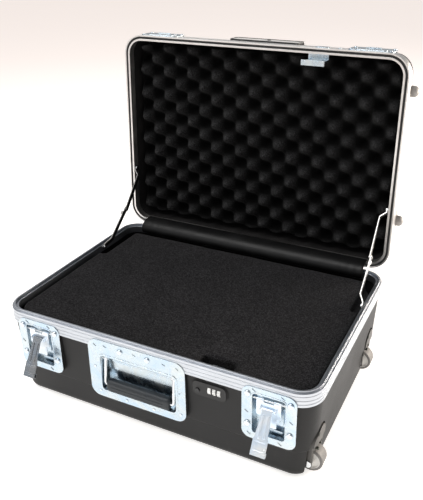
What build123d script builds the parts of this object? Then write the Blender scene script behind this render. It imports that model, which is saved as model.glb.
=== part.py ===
from build123d import *
import math
import os

# Wheeled transit case: moulded base and lid shells in an aluminium
# tongue-and-groove frame.  Millimetres.  X = width, Y = front to back,
# Z = up; the origin is the middle of the base's underside.  Lid parts are
# modelled shut and then turned about the hinge line, because the rest
# position is lid open, leaning slightly back past upright.

# ---- driving dimensions ----------------------------------------------------
WIDTH = 560.0                # over the frame
DEPTH = 393.0                # over the frame
RIM = 165.1                  # height of the base rim
VALANCE_H = 22.6             # height of the frame's outer valance
CORNER_R = 38.0              # plan corner radius of the frame
FRAME_IN = 10.5              # depth of the frame section, outside to inside
LID_H = 73.0                 # lid height above the rim
WALL = 4.0                   # floor thickness of the base, roof of the lid
LID_GAP = 0.4                # closed gap between the two rims
OPEN_DEG = 92.3              # lid opening angle at rest
STEP_Z = 52.3                # height of the step line round the base
BASE_EDGE_R = 13.0           # bottom edge radius of the base
LID_EDGE_R = 14.0            # top edge radius of the lid
PLATE = 1.2                  # pressed steel plate thickness

FRONT = -DEPTH / 2           # y of the frame's front face
BACK = DEPTH / 2             # y of the frame's back face
PLATE_Y = FRONT - PLATE      # y of the front of the steel plates
VALANCE_Z = RIM - VALANCE_H  # underside of the base valance
LID_VALANCE_Z = RIM + VALANCE_H
HINGE_Y, HINGE_Z = BACK + 4.0, RIM + 0.1    # hinge line, parallel to X
INNER_X = WIDTH / 2 - FRAME_IN              # |x| of the frame's inner side

# body stations: z, inset from the overall plan, corner radius
BASE_TOP = (RIM - 5.8, 2.0, 36.0)
BASE_LOWER = [(STEP_Z + 2, 7.6, 34.0), (STEP_Z - 1, 9.8, 33.0), (0.0, 12.2, 31.0)]
BASE_CAVITY = [(RIM + 5, 5.8, 32.0), (STEP_Z + 2, 11.6, 30.0),
               (STEP_Z - 1, 13.8, 29.0), (WALL, 16.0, 27.0)]
LID_BODY = [(RIM + 8.0, 2.0, 36.0), (RIM + LID_H, 7.0, 34.0)]
LID_CAVITY = [(RIM + 2, 5.6, 32.0), (RIM + LID_H - WALL, 11.0, 30.0)]

# rectangles on the front: x0, x1, z0, z1
HANDLE = (-104.6, 73.2, 47.9, 157.3)        # handle plate
HANDLE_TRAY = (-82.0, 56.0, 62.7, 129.2)    # mouth of its tray
LOCK = (85.2, 141.0, 111.2, 135.3)          # lock escutcheon
LOCK_Y = FRONT + 2.4                        # face the escutcheon lies on

LATCH_X = {"right": 209.6, "left": -205.0}  # latch centres
LATCH_Z0, LATCH_Z1 = 64.0, 157.0
LATCH_W = 85.0

WHEEL_Y = {"front": -149.0, "rear": 128.0}  # wheel centres
TOW_Y, TOW_Z = 62.0, 30.0                   # |y| and z of the pull-handle tubes

os.makedirs("parts", exist_ok=True)


# ---- saving ----------------------------------------------------------------
def single(shape):
    """The single solid of a boolean result, or a compound of its solids."""
    solids = shape.solids()
    return solids[0] if len(solids) == 1 else Compound(children=list(solids))


def save(name, shape):
    shape.label = name
    export_step(shape, "parts/" + name + ".step")


def save_one(name, shape):
    save(name, single(shape))


def save_group(name, shapes):
    save(name, Compound(children=list(shapes)))


def turn_about_x(shape, y, z, deg):
    """Turn a shape about a line parallel to X through (y, z)."""
    return Pos(0, y, z) * (Rot(deg, 0, 0) * (Pos(0, -y, -z) * shape))


def open_lid(shape):
    return turn_about_x(shape, HINGE_Y, HINGE_Z, -OPEN_DEG)


def save_opened(name, shape):
    """Save a part modelled with the lid shut in its lid-open place."""
    save_one(name, open_lid(single(shape)))


# ---- shape helpers ---------------------------------------------------------
def box(x0, x1, y0, y1, z0, z1):
    return Pos((x0 + x1) / 2, (y0 + y1) / 2, (z0 + z1) / 2) * Box(
        abs(x1 - x0), abs(y1 - y0), abs(z1 - z0))


def cyl_x(x0, x1, y, z, r):
    return Pos((x0 + x1) / 2, y, z) * Rot(0, 90, 0) * Cylinder(r, abs(x1 - x0))


def cyl_y(y0, y1, x, z, r):
    return Pos(x, (y0 + y1) / 2, z) * Rot(90, 0, 0) * Cylinder(r, abs(y1 - y0))


def standing_cylinder(r, h):
    """Cylinder with its foot on z = 0."""
    return Cylinder(r, h, align=(Align.CENTER, Align.CENTER, Align.MIN))


def plan(inset, r=None):
    """Plan outline of the case, inset from the overall size."""
    radius = CORNER_R - inset if r is None else r
    return RectangleRounded(WIDTH - 2 * inset, DEPTH - 2 * inset, radius)


def prism(inset, z0, z1):
    return extrude(Plane.XY.offset(z0) * plan(inset), amount=z1 - z0)


def ring(inset0, inset1, z0, z1):
    return prism(inset0, z0, z1) - prism(inset1, z0 - 1, z1 + 1)


def slab(stations):
    """Ruled loft through plan outlines (z, inset, corner radius)."""
    body = None
    for (za, inset_a, ra), (zb, inset_b, rb) in zip(stations, stations[1:]):
        piece = loft([(Plane.XY.offset(za) * plan(inset_a, ra)).face(),
                      (Plane.XY.offset(zb) * plan(inset_b, rb)).face()], ruled=True)
        body = piece if body is None else body + piece
    return body


def front_plane(x, y, z):
    return Plane(origin=(x, y, z), x_dir=(1, 0, 0), z_dir=(0, -1, 0))


def front(sketch, y0, y1):
    """Extrude a sketch drawn in (x, z) from y0 back to y1."""
    return extrude(front_plane(0, y0, 0) * sketch, amount=-(y1 - y0))


def side(sketch, x0, x1):
    """Extrude a sketch drawn in (y, z) from x0 to x1."""
    plane = Plane(origin=(x0, 0, 0), x_dir=(0, 1, 0), z_dir=(1, 0, 0))
    return extrude(plane * sketch, amount=x1 - x0)


def rounded(x0, x1, z0, z1, r):
    return Pos((x0 + x1) / 2, (z0 + z1) / 2) * RectangleRounded(abs(x1 - x0), abs(z1 - z0), r)


def grow(rect, by):
    """Rectangle (x0, x1, z0, z1) moved out on every side."""
    x0, x1, z0, z1 = rect
    return x0 - by, x1 + by, z0 - by, z1 + by


def rivet(x, y, z, r, h, axis="y-"):
    """Low rivet head standing on a face, pointing along axis."""
    head = standing_cylinder(r, h)
    head = fillet(head.edges().sort_by(Axis.Z)[-1], h * 0.7)
    turn = {"y-": Rot(90, 0, 0), "y+": Rot(-90, 0, 0), "x-": Rot(0, -90, 0)}[axis]
    return Pos(x, y, z) * turn * head


def edges_at(shape, axis, *places):
    """Edges whose centres lie at one of the places along axis X, Y or Z."""
    return shape.edges().filter_by(
        lambda e: any(abs(getattr(e.center(), axis) - p) < 0.01 for p in places))


def circles(shape):
    return [e for e in shape.edges() if e.geom_type == GeomType.CIRCLE]


def tray(rect, r, depth, taper):
    """Pressed tray as (outside, hollow): walls tapering back, closed behind."""
    def section(y, by):
        return (front_plane(0, y, 0) * rounded(*grow(rect, by), r)).face()
    outside = loft([section(PLATE_Y, PLATE), section(FRONT + depth, PLATE - taper)], ruled=True)
    hollow = loft([section(PLATE_Y - 1.5, 0.25), section(FRONT + depth - PLATE, -taper)],
                  ruled=True)
    return outside, hollow


def arch(y, half, top, x0, x1):
    """Round-topped block along X, from below the floor up to top."""
    spring = top - half
    legs = side(Pos(y, spring / 2 - 3) * Rectangle(2 * half, spring + 6), x0, x1)
    return legs + cyl_x(x0, x1, y, spring, half)


# ---- base ------------------------------------------------------------------
def base_body():
    """Outside of the base, solid."""
    body = slab([BASE_TOP] + BASE_LOWER)
    return fillet(edges_at(body, "Z", 0), BASE_EDGE_R)


def base_shell():
    # flat bosses under the front hardware, so that the plates lie flat
    boss_top = VALANCE_Z - 0.3
    x0, x1, z0, _ = HANDLE
    bosses = [front(rounded(x0 + 1.5, x1 - 1.5, z0 + 1.5, boss_top, 12), FRONT, FRONT + 14)]
    boss_half = LATCH_W / 2 - 1.5
    for cx in LATCH_X.values():
        outline = rounded(cx - boss_half, cx + boss_half, LATCH_Z0 + 1.5, boss_top, 10)
        bosses.append(front(outline, FRONT, FRONT + 14))
    bosses.append(front(rounded(*grow(LOCK, 2), 11), LOCK_Y, FRONT + 12))
    shell = base_body()
    for boss in bosses:
        shell = shell + (boss & prism(0, 0, VALANCE_Z - 0.2))
    shell = shell - slab(BASE_CAVITY)

    # openings behind the handle, latches and lock
    cut_y = (FRONT - 2, FRONT + 24)
    x0, x1, z0, _ = HANDLE_TRAY
    shell = shell - front(rounded(x0 - 5, x1 + 5, z0 - 3, VALANCE_Z - 4, 9), *cut_y)
    for cx in LATCH_X.values():
        shell = shell - front(rounded(cx - 28.6, cx + 28.6, LATCH_Z0 + 8, 150.0, 6), *cut_y)
    x0, x1, z0, z1 = LOCK
    shell = shell - box(x0 + 3, x1 - 3, *cut_y, z0 + 2.5, z1 - 2.5)
    # arched wheel wells in the right-hand bottom corners
    for y in WHEEL_Y.values():
        shell = shell - arch(y, 25.4, 84.4, 238.0, 300.0)
    # pull-handle cup opening in the left wall
    shell = shell - side(Pos(0, TOW_Z) * RectangleRounded(177, 27.4, 7), -290, -250)
    save_one("base_shell", shell)


def frame_section(rings, up):
    """Frame of stacked rings, grooved on the valance; up = 1 for the lid, -1 for the base."""
    frame = ring(*rings[0])
    for args in rings[1:]:
        frame = frame + ring(*args)
    for near, far in ((17.4, 18.4), (11.2, 12.0), (4.3, 5.2)):     # distances from the rim
        z0, z1 = sorted((RIM + up * near, RIM + up * far))
        frame = frame - ring(-1, 0.5, z0, z1)
    return frame


def base_frame():
    rail_z = RIM - 5.5
    frame = frame_section([
        (0, 1.8, VALANCE_Z, RIM),                       # valance
        (0, 3.2, rail_z, RIM),                          # outer rail
        (0, FRAME_IN, rail_z, rail_z + 2.4),            # web
        (3.1, 5.8, rail_z, RIM + 3.5),                  # tongue
        (8.0, FRAME_IN, rail_z, RIM - 0.5),             # inner rail
        (8.9, FRAME_IN, RIM - 14.2, RIM - 0.5),         # inner leg
    ], -1)
    # the valance is notched where the latch trays pass
    for cx in LATCH_X.values():
        frame = frame - box(cx - 27.8, cx + 27.8, FRONT - 2, FRONT + 2.6, VALANCE_Z - 2, 148.9)
    save_one("base_frame", frame)


def stay_pocket(s, z0, z1):
    """Room for a stay in the foam, s = 1 right, -1 left."""
    return box(s * 251.5, s * 270, HINGE_Y - 142, BACK, z0, z1)


def base_foam():
    bottom, top = 47, RIM - 6.9
    y0, y1 = FRONT + 14.4, BACK - 26.0
    outline = Pos(0, (y0 + y1) / 2) * RectangleRounded(531, y1 - y0, 31)
    foam = extrude(Plane.XY.offset(bottom) * outline, amount=top - bottom)
    for s in (-1, 1):
        foam = foam - stay_pocket(s, RIM - 22.2, RIM)
    for y in WHEEL_Y.values():
        foam = foam - box(236, 270, y - 27, y + 29, 40, 87)             # wheel wells
    foam = foam - box(87, 142, FRONT, FRONT + 38.5, 104, RIM)           # lock pocket
    foam = foam - box(-106, 76, FRONT, FRONT + 23.0, 40, 140)           # handle dish
    for cx in LATCH_X.values():
        foam = foam - box(cx - 34, cx + 34, FRONT, FRONT + 20.0, 60, 152)
    foam = foam - box(-270, -239, -95, 95, 40, 60)                      # pull-handle cup
    save_one("base_foam", foam)
    save_group("floor_foam_strips", [box(-232, 222, y0, y1, 5, 46)
                                     for y0, y1 in ((-44, 44), (82, 160), (-160, -82))])


# ---- lid (modelled shut) ---------------------------------------------------
def lid_body():
    """Outside of the lid, solid."""
    body = slab(LID_BODY)
    return fillet(edges_at(body, "Z", RIM + LID_H), LID_EDGE_R)


def lid_shell():
    shell = lid_body()
    boss_z0 = LID_VALANCE_Z + 1.2
    outlines = [rounded(cx - 38.5, cx + 38.5, boss_z0, RIM + 44, 9) for cx in LATCH_X.values()]
    outlines.append(rounded(-62, 76, boss_z0, RIM + 57.0, 6))
    for outline in outlines:
        shell = shell + front(outline, FRONT, FRONT + 12)
    save_opened("lid_shell", shell - slab(LID_CAVITY))


def lid_frame():
    bottom, web_top = RIM + LID_GAP, RIM + 7.8
    save_opened("lid_frame", frame_section([
        (0, 2.6, bottom, web_top),                      # outer rail
        (0, 1.8, bottom, LID_VALANCE_Z + 0.6),          # valance
        (0, FRAME_IN, RIM + 5.6, web_top),              # web
        (7.0, FRAME_IN, bottom, web_top),               # inner rail
        (8.9, FRAME_IN, bottom, RIM + 16),              # inner leg
    ], 1))
    save_opened("lid_gasket", ring(2.9, 6.7, RIM + 3.95, RIM + 5.55))


def lid_foam():
    bottom = 16.5               # above the rim
    outline = Pos(0, -1) * RectangleRounded(526, DEPTH - 40, 27)
    foam = extrude(Plane.XY.offset(RIM + bottom) * outline, amount=LID_H - WALL - 1.0 - bottom)
    foam = foam - box(91, 144, FRONT, FRONT + 36, RIM - 10, RIM + 20)
    for s in (-1, 1):
        foam = foam - stay_pocket(s, RIM - 10, RIM + 20)
    save_opened("lid_foam", foam)


# ---- piano hinge -----------------------------------------------------------
HINGE_HALF = 232.0           # half length
KNUCKLES = 16
KNUCKLE_R, BORE_R, PIN_R = 2.9, 1.31, 1.25
LEAF_T = 1.2


def hinge_leaf(up, first):
    """Leaf with every second knuckle from first; up = 1 for the lid, -1 for the base."""
    pitch = 2 * HINGE_HALF / KNUCKLES
    leaf = box(-HINGE_HALF, HINGE_HALF, BACK, BACK + LEAF_T, HINGE_Z + up * 3.0, HINGE_Z + up * 20)
    for i in range(first, KNUCKLES, 2):
        x0 = -HINGE_HALF + i * pitch + 0.15
        x1 = x0 + pitch - 0.3
        leaf = leaf + cyl_x(x0, x1, HINGE_Y, HINGE_Z, KNUCKLE_R)
        leaf = leaf + box(x0, x1, BACK, BACK + 2.0, HINGE_Z + up * 0.9, HINGE_Z + up * 3.2)
    return leaf - cyl_x(-HINGE_HALF - 1, HINGE_HALF + 1, HINGE_Y, HINGE_Z, BORE_R)


def hinge_rivets(up):
    return [rivet(-HINGE_HALF + 16 + i * 62, BACK + LEAF_T, HINGE_Z + up * 13, 2.4, 1.2, "y+")
            for i in range(8)]


def hinge():
    save_one("hinge_leaf_base", hinge_leaf(-1, 0))
    save_opened("hinge_leaf_lid", hinge_leaf(1, 1))
    save_one("hinge_pin", cyl_x(-HINGE_HALF + 0.2, HINGE_HALF - 0.2, HINGE_Y, HINGE_Z, PIN_R))
    save_group("hinge_rivets_base", hinge_rivets(-1))
    save_group("hinge_rivets_lid", [open_lid(r) for r in hinge_rivets(1)])


# cover outline: distance forward of the back face, height above the rim
COVER_POINTS = [(10.9, -13.2), (18.0, -10.2), (22.4, -4.2), (22.6, 2.8),
                (18.6, 9.8), (11.0, 14.8), (0.0, 17.2), (-15.0, 16.6)]
COVER_T = 1.4


def hinge_cover():
    """Soft cover over the hinge on the inside, a half tube bulging forward."""
    outer = [(BACK - forward, RIM + above) for forward, above in COVER_POINTS]
    inner = []
    for i, (y, z) in enumerate(outer):      # offset square to the neighbours' chord
        before, after = outer[max(0, i - 1)], outer[min(len(outer) - 1, i + 1)]
        dy, dz = after[0] - before[0], after[1] - before[1]
        chord = math.hypot(dy, dz)
        inner.append((y + COVER_T * dz / chord, z - COVER_T * dy / chord))
    inner[0] = (outer[0][0], outer[0][1] + 2.0)
    inner[-1] = (outer[-1][0], outer[-1][1] - COVER_T)
    section = make_face(Curve() + [Spline(*outer), Line(outer[-1], inner[-1]),
                                   Spline(*inner[::-1]), Line(inner[0], outer[0])])
    save_one("hinge_cover", side(section, -240, 240))


# ---- front handle ----------------------------------------------------------
BAIL_Y, BAIL_Z = FRONT + 6.0, 121.6         # bail pivot line
BAIL_TILT = 6.5                             # rest tilt of the bail
BAIL_X0, BAIL_X1 = -76.5, 50.5              # arm centres
BAIL_END0, BAIL_END1 = -83.8, 57.8          # stud ends
BAR_R = 3.0
GRIP_Z = BAIL_Z - 46.5                      # cross bar, before the tilt
DISH_DEPTH = 17.0
# slots in the handle flange: x, z, angle
HANDLE_SLOTS = [(-91.0, 147.0, -35), (-71.4, 148.4, -25), (-16.7, 148.6, -20),
                (37.0, 147.6, -25), (60.5, 147.0, -35), (64.0, 104.0, 50)]
# rivets in the handle flange: x, z, radius, height
HANDLE_RIVETS = [(-43.1, 146.0, 5.2, 2.2), (7.1, 146.4, 5.2, 2.2), (-93.5, 104.5, 2.8, 0.9),
                 (-86.6, 58.5, 2.8, 0.9), (-36.6, 54.4, 2.8, 0.9), (14.8, 54.4, 2.8, 0.9),
                 (64.0, 62.0, 2.8, 0.9)]


def handle_dish():
    plate = front(rounded(*HANDLE, 17), PLATE_Y, FRONT)
    outside, hollow = tray(HANDLE_TRAY, 7, DISH_DEPTH, 3.0)
    lip = front(rounded(*grow(HANDLE_TRAY, 3.4), 9), PLATE_Y - 0.9, PLATE_Y)
    dish = plate + outside + lip - hollow
    for x0, x1 in ((-84.5, -78), (51.5, 58.5)):             # bail stud holes
        dish = dish - cyl_x(x0, x1, BAIL_Y, BAIL_Z, BAR_R + 0.06)
    # stiffening band pressed into the upper half of the dish floor
    floor_y = FRONT + DISH_DEPTH - PLATE
    dish = dish + front(rounded(-76.5, 50.0, 97.5, 125.0, 3.0), floor_y - 3.0, floor_y + 0.2)
    dish = dish + front(rounded(-70.0, 43.5, 114.0, 116.4, 1.0), floor_y - 4.2, floor_y - 2.9)
    for x, z, angle in HANDLE_SLOTS:
        slot = Pos(x, z) * Rot(0, 0, angle) * SlotOverall(7.0, 2.2)
        dish = dish - front(slot, PLATE_Y - 1, FRONT - 0.4)
    save_one("handle_dish", dish)
    save_group("handle_rivets", [rivet(x, PLATE_Y, z, r, h) for x, z, r, h in HANDLE_RIVETS])


def handle_bail():
    """Round bar with two end studs, arms and a cross bar."""
    path = FilletPolyline((BAIL_END0, BAIL_Z), (BAIL_X0, BAIL_Z), (BAIL_X0, GRIP_Z),
                          (BAIL_X1, GRIP_Z), (BAIL_X1, BAIL_Z), (BAIL_END1, BAIL_Z), radius=4.2)
    start = Plane(origin=(BAIL_END0, BAIL_Y, BAIL_Z), z_dir=(1, 0, 0))
    bar = sweep(start * Circle(BAR_R), path=front_plane(0, BAIL_Y, 0) * path)
    for x0, x1 in ((-77.4, -71.6), (45.6, 51.4)):           # turned collars at the studs
        collar = cyl_x(x0, x1, BAIL_Y, BAIL_Z, 3.6)
        bar = bar + fillet(circles(collar), 1.1)
    save_one("handle_bail", turn_about_x(bar, BAIL_Y, BAIL_Z, -BAIL_TILT))


def handle_grip():
    """Grip moulded over the cross bar, grooved along its front."""
    x0, x1 = -71.0, 45.0
    grip = side(Pos(BAIL_Y, GRIP_Z) * RectangleRounded(15.5, 20.0, 6.2), x0, x1)
    grip = fillet(edges_at(grip, "X", x0, x1), 3.5)
    for dz in (-5.0, 0.0, 5.0):
        z = GRIP_Z + dz
        grip = grip - box(x0 + 9, x1 - 9, BAIL_Y - 9, BAIL_Y - 7.15, z - 0.7, z + 0.7)
    grip = grip - cyl_x(x0 - 1, x1 + 1, BAIL_Y, GRIP_Z, BAR_R + 0.02)
    save_one("handle_grip", turn_about_x(grip, BAIL_Y, BAIL_Z, -BAIL_TILT))


# ---- latches ---------------------------------------------------------------
BARREL_Y, BARREL_Z = FRONT + 1.4, 138.0
CLAW_PIN_Y, CLAW_PIN_Z = BARREL_Y - 6.4, BARREL_Z - 11.0
CLAW_TILT = {"right": 32.5, "left": 29.0}   # claws hang this far out at rest
CLAW_L = 63.5                               # claw length below its pin
# slots in the latch flange: x from the latch centre, z
LATCH_SLOTS = [(-23.0, 152.4), (21.5, 152.6), (-34.6, 112.0),
               (35.0, 114.0), (-30.5, 72.5), (18.5, 69.6)]
# rivets of one latch: x from the latch centre, z
LATCH_RIVETS = [(-33.2, 143.6), (33.2, 143.0), (-33.2, 90.0), (33.2, 90.0)]


def latch_dish(cx):
    mouth = (cx - 25.5, cx + 25.5, 76.5, 146.6)
    half = LATCH_W / 2
    plate = front(rounded(cx - half, cx + half, LATCH_Z0, LATCH_Z1, 14), PLATE_Y, FRONT)
    outside, hollow = tray(mouth, 5, 13.0, 2.0)
    lip = front(rounded(*grow(mouth, 1.8), 6.5), PLATE_Y - 0.8, PLATE_Y)
    dish = plate + outside + lip - hollow
    # raised rib and keeper pressed into the tray floor
    dish = dish + front(rounded(cx + 14.5, cx + 20.5, 96, 128, 2.9), FRONT + 6.5, FRONT + 12.5)
    dish = dish + front(rounded(cx - 3, cx + 20.0, 81.5, 86.0, 2.0), FRONT + 6.0, FRONT + 12.5)
    for dx, z in LATCH_SLOTS:
        slot = Pos(cx + dx, z) * Rot(0, 0, -35) * SlotOverall(7.6, 2.8)
        dish = dish - front(slot, PLATE_Y - 1, FRONT - 0.3)
    return single(dish - cyl_x(cx - 27.0, cx + 27.0, BARREL_Y, BARREL_Z, 1.5))


def latch_lever(cx):
    """T plate on the barrel, with two ears carrying the claw pin."""
    y0, y1 = BARREL_Y - 3.0, BARREL_Y - 1.6
    lever = front(rounded(cx - 19.0, cx + 19.0, BARREL_Z - 26.0, BARREL_Z - 2.2, 2.5), y0, y1)
    lever = lever + front(
        rounded(cx - 12.5, cx + 12.5, BARREL_Z - 44.0, BARREL_Z - 10, 3.0), y0, y1)
    for x0, x1 in ((cx - 19.0, cx - 8.0), (cx + 8.0, cx + 19.0)):
        lever = lever + cyl_x(x0, x1, BARREL_Y, BARREL_Z, 3.0)
        lever = lever + box(x0, x1, y0, y1, BARREL_Z - 4, BARREL_Z)
    for s in (-1, 1):
        x0, x1 = cx + s * 11.2, cx + s * 12.5
        ear = cyl_x(x0, x1, CLAW_PIN_Y, CLAW_PIN_Z, 3.0) + box(
            x0, x1, CLAW_PIN_Y, BARREL_Y - 2.0, CLAW_PIN_Z - 3.0, CLAW_PIN_Z + 3.0)
        lever = lever + ear
    lever = lever + cyl_x(cx - 13.2, cx + 13.2, CLAW_PIN_Y, CLAW_PIN_Z, 1.2)
    return lever - cyl_x(cx - 30, cx + 30, BARREL_Y, BARREL_Z, 1.55)


def latch_claw(cx, tilt):
    """Tapered strap with two pressed ribs and a broad hooked foot."""
    thick, foot_half = 1.5, 11.3
    face_y = CLAW_PIN_Y - 2.7
    foot_z = CLAW_PIN_Z - CLAW_L
    claw = cyl_x(cx - 8.4, cx + 8.4, CLAW_PIN_Y, CLAW_PIN_Z, 2.7)
    # one edge of the strap, top to bottom: distance from its middle, z
    edge = [(7.8, CLAW_PIN_Z), (7.8, CLAW_PIN_Z - 6), (9.8, foot_z + 25),
            (foot_half, foot_z + 22.5), (foot_half, foot_z)]
    outline = Polyline(*[(cx - dx, z) for dx, z in edge],
                       *[(cx + dx, z) for dx, z in edge[::-1]], close=True)
    claw = claw + front(make_face(outline), face_y, face_y + thick)
    for s in (-1, 1):
        slot = Pos(cx + s * 4.2, CLAW_PIN_Z - 23.5) * Rot(0, 0, 90) * SlotOverall(34.0, 4.0)
        rib = front(slot, face_y - 1.4, face_y + 0.2)
        claw = claw + chamfer(edges_at(rib, "Y", face_y - 1.4), 0.9)
    # beads across the foot: z0 and z1 above its end, corner radius, height
    for z0, z1, r, proud in ((3.0, 6.2, 1.5, 0.9), (16.4, 19.0, 1.2, 0.7)):
        bead = rounded(cx - 9.4, cx + 9.4, foot_z + z0, foot_z + z1, r)
        claw = claw + front(bead, face_y - proud, face_y + 0.2)
    x0, x1 = cx - foot_half, cx + foot_half
    claw = claw + box(x0, x1, face_y, face_y + 6.0, foot_z - 1.5, foot_z)
    claw = claw + box(x0, x1, face_y + 4.7, face_y + 6.0, foot_z - 1.5, foot_z + 5)
    claw = claw - cyl_x(cx - 20, cx + 20, CLAW_PIN_Y, CLAW_PIN_Z, 1.25)
    return turn_about_x(claw, CLAW_PIN_Y, CLAW_PIN_Z, -tilt)


def latches():
    centres = LATCH_X.values()
    for name, cx in LATCH_X.items():
        save_one("latch_lever_" + name, latch_lever(cx))
        save_one("latch_claw_" + name, latch_claw(cx, CLAW_TILT[name]))
    save_group("latch_dishes", [latch_dish(cx) for cx in centres])
    save_group("latch_pins", [cyl_x(cx - 26.4, cx + 26.4, BARREL_Y, BARREL_Z, 1.48)
                              for cx in centres])
    save_group("latch_rivets", [rivet(cx + dx, PLATE_Y, z, 5.2, 2.6)
                                for cx in centres for dx, z in LATCH_RIVETS])


# ---- fittings on the lid front ---------------------------------------------
def strike_plate(cx):
    plate = front(rounded(cx - 40, cx + 40, RIM + 1.6, RIM + 45, 11), PLATE_Y, FRONT)
    plate = plate + front(rounded(cx - 27, cx + 27, RIM + 8, RIM + 37, 5), PLATE_Y - 0.8, PLATE_Y)
    # hooked ledge for the claw
    ledge_y = PLATE_Y - 2.6
    plate = plate + box(cx - 13, cx + 13, ledge_y, PLATE_Y + 0.2, RIM + 28.0, RIM + 29.6)
    plate = plate + box(cx - 13, cx + 13, ledge_y, PLATE_Y - 1.4, RIM + 28.0, RIM + 32.0)
    return single(open_lid(single(plate)))


def strikes():
    save_group("strike_plates", [strike_plate(cx) for cx in LATCH_X.values()])
    save_group("strike_rivets", [open_lid(rivet(cx + dx, PLATE_Y, RIM + dz, 3.0, 1.5))
                                 for cx in LATCH_X.values() for dz in (9, 38)
                                 for dx in (-34, 34)])


def card_holder():
    """Blank card frame, a thin rim held by one stud."""
    rect = (-61.0, 75.0, LID_VALANCE_Z + 1.8, RIM + 56.5)
    stud_x, stud_z = 10.0, RIM + 44
    floor_y = FRONT - 1.0
    frame = front(rounded(*rect, 3), FRONT - 2.4, FRONT)
    frame = frame - front(rounded(*grow(rect, -2.0), 1.5), FRONT - 4, floor_y)
    frame = frame + rivet(stud_x, floor_y, stud_z, 3.4, 2.4)
    save_opened("card_frame", frame)
    panel = front(rounded(*grow(rect, -2.2), 1.4), FRONT - 1.6, floor_y)
    save_opened("card_panel", panel - cyl_y(FRONT - 4, FRONT, stud_x, stud_z, 3.5))


def lock_backing_plate():
    plate = front(rounded(112, 136, RIM + 3, RIM + 17, 5), FRONT - 1.4, FRONT)
    stud = rivet(156, FRONT, RIM + 8, 3.2, 2.2)
    save_group("lock_backing_plate", [open_lid(plate), open_lid(stud)])


# ---- combination lock ------------------------------------------------------
ESCUTCHEON_Y = LOCK_Y - 1.4                 # front of the escutcheon
DIAL_X = [113.2, 121.1, 129.0]
DIAL_Y, DIAL_Z = ESCUTCHEON_Y + 6.2, 123.2
DIAL_R, DIAL_W = 8.0, 5.2
BUTTON_X, BUTTON_Z, BUTTON_R = 93.6, 119.4, 3.7


def lock_case():
    plate = front(rounded(*LOCK, 8), ESCUTCHEON_Y, LOCK_Y)
    for x in DIAL_X:
        half = DIAL_W / 2 + 0.35
        plate = plate - cyl_x(x - half, x + half, DIAL_Y, DIAL_Z, DIAL_R + 0.35)
    hole_r = BUTTON_R + 0.05
    plate = plate - cyl_y(LOCK_Y - 3, LOCK_Y + 1, BUTTON_X, BUTTON_Z, hole_r)
    save_one("lock_escutcheon", plate)

    x0, x1, z0, z1 = LOCK
    body = box(x0 + 3.6, x1 - 3.6, LOCK_Y, LOCK_Y + 18.0, z0 + 2.8, z1 - 2.8)
    body = body - cyl_x(DIAL_X[0] - 4.6, DIAL_X[2] + 4.6, DIAL_Y, DIAL_Z, DIAL_R + 0.5)
    body = body - cyl_y(LOCK_Y - 1, LOCK_Y + 8.5, BUTTON_X, BUTTON_Z, hole_r)
    save_one("lock_body", body - cyl_x(104.5, 138.4, DIAL_Y, DIAL_Z, 1.52))


def dial(x):
    """Number wheel with finger serrations round its rim."""
    wheel = cyl_x(x - DIAL_W / 2, x + DIAL_W / 2, DIAL_Y, DIAL_Z, DIAL_R)
    wheel = chamfer(circles(wheel), 0.5)
    for k in range(10):
        angle = math.radians(36 * k + 18)
        y, z = DIAL_Y + DIAL_R * math.cos(angle), DIAL_Z + DIAL_R * math.sin(angle)
        wheel = wheel - Pos(x, y, z) * Rot(0, 90, 0) * Cylinder(0.8, DIAL_W + 1)
    return wheel - cyl_x(x - 5, x + 5, DIAL_Y, DIAL_Z, 1.55)


def lock_works():
    save_one("dial_axle", cyl_x(104.7, 137.6, DIAL_Y, DIAL_Z, 1.5))
    for i, x in enumerate(DIAL_X):
        save_one("dial_%d" % (i + 1), dial(x))
    button = cyl_y(LOCK_Y - 3.4, LOCK_Y + 4.0, BUTTON_X, BUTTON_Z, BUTTON_R)
    save_one("lock_button", fillet(button.edges().sort_by(Axis.Y)[0], 0.6))

    body_top = LOCK[3] - 2.8
    y0, z0 = FRONT + 16.0, body_top + 0.2
    bolt = box(108, 129, y0, FRONT + 20.0, z0, body_top + 2.0)
    bolt = bolt + box(108, 129, y0, FRONT + 17.4, z0, RIM - 9.2)
    bolt = bolt + box(109, 128, y0, FRONT + 23.2, RIM - 13.4, RIM - 9.8)
    save_one("lock_bolt", bolt)


def lock_tang():
    """Windowed plate hanging from the lid's inner rail, with a flange and two end pads."""
    back_y = FRONT + 22.2
    tang = box(100, 137, FRONT + 20.6, back_y, RIM - 18.0, RIM + 10.2)
    tang = tang - box(107, 130, FRONT + 16, FRONT + 24, RIM - 14.6, RIM - 8.6)
    tang = tang + box(96, 138, FRONT + 19.2, FRONT + 28.4, RIM - 18.2, RIM - 16.6)
    for x0, x1 in ((96, 101), (133, 138)):
        tang = tang + box(x0, x1, FRONT + 22.1, FRONT + 27.6, RIM - 16.7, RIM - 12.6)
    tang = tang + box(100, 137, FRONT + 10.5, back_y, RIM + 8.6, RIM + 10.2)
    save_opened("lock_tang", tang)


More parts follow.
